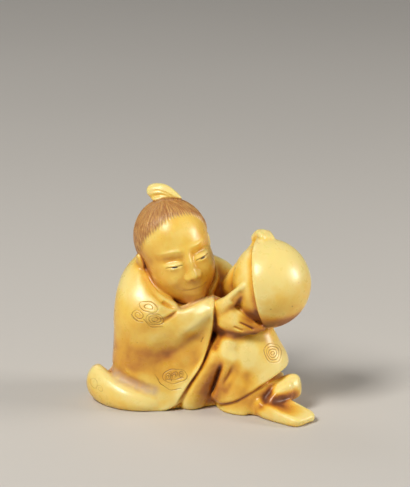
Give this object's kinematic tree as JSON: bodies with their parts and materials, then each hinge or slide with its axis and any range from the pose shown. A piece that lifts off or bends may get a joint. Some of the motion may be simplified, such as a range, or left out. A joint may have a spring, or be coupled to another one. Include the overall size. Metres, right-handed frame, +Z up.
{
  "type": "netsuke",
  "caption": "Small carved ivory toggle: a seated, robed figure leaning over a round capped object held on one raised knee.",
  "frame": {"origin": "on the flat underside, below the middle of the figure", "axes": "+Z up, -Y the way the figure faces, +X to the viewer's right"},
  "size_m": [0.0364, 0.0253, 0.0358],
  "materials": {
    "ivory": "old ivory, polished and stained honey yellow, dark reddish brown in the recesses"
  },
  "bodies": {
    "root": {"carved_figure": "ivory"}
  },
  "joints": []
}
